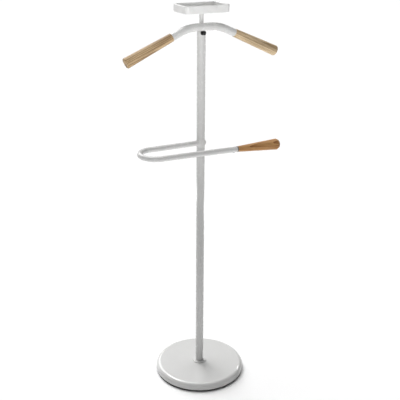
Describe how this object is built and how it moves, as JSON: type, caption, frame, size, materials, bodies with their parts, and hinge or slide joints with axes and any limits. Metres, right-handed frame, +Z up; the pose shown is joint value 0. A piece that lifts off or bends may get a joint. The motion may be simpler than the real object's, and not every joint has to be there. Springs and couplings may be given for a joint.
{
  "type": "valet stand",
  "caption": "Free-standing valet stand: round weighted base, slim pole, swinging trouser bar with a wooden handle, suit hanger with wooden shoulders and a small tray on top.",
  "frame": {"origin": "centre of the base, on the floor under the rubber pads", "axes": "+X to the right along the hanger seen from the front, -Y the front where the trouser bar's handle is, +Z up the pole"},
  "size_m": [0.4948, 0.29, 1.207],
  "materials": {
    "white_steel": "satin white powder coat",
    "white_shell": "satin white powder coat",
    "black_plate": "matt black",
    "iron": "rough cast",
    "zinc": "bright zinc",
    "black_steel": "black oxide",
    "rubber": "matt",
    "nylon": "natural nylon",
    "black_plastic": "fine grain",
    "grey_plastic": "fine grain",
    "white_plastic": "satin moulding",
    "light_beech": "clear lacquer",
    "warm_beech": "tinted lacquer"
  },
  "bodies": {
    "stand": {"foot_pads": "rubber", "base_plate": "black_plate", "plate_screws": "zinc", "base_weight": "iron", "base_cover": "white_shell", "foot_bolt": "zinc", "foot_bolt_washer": "zinc", "foot_trim": "white_steel", "lower_pole": "white_steel", "upper_pole": "white_steel", "foot_plug": "zinc", "lower_joint_plug": "zinc", "upper_joint_plug": "zinc", "pivot_stud": "zinc", "lower_swivel_washer": "nylon", "upper_swivel_washer": "nylon", "head_bush": "nylon", "saddle_pad": "black_plastic", "bush_screw": "black_steel"},
    "trouser_arm": {"bar_hub": "white_steel", "trouser_bar": "white_steel", "bar_end_plug": "white_plastic", "handle_ring": "grey_plastic", "bar_handle": "warm_beech", "handle_screw": "zinc"},
    "head": {"head_stem": "white_steel", "stem_clip": "zinc", "hanger_tube": "white_steel", "left_shoulder": "light_beech", "right_shoulder": "light_beech", "shoulder_screws": "zinc", "tray_bracket": "white_steel", "tray": "white_plastic", "tray_screws": "zinc"}
  },
  "joints": [
    {"name": "trouser_bar_swing", "type": "hinge", "parent": "stand", "child": "trouser_arm", "pos_m": [0, 0, 0.7965], "axis": [0, 0, 1], "continuous": true},
    {"name": "head_turn", "type": "hinge", "parent": "stand", "child": "head", "pos_m": [0, 0, 1.1285], "axis": [0, 0, 1], "continuous": true}
  ]
}
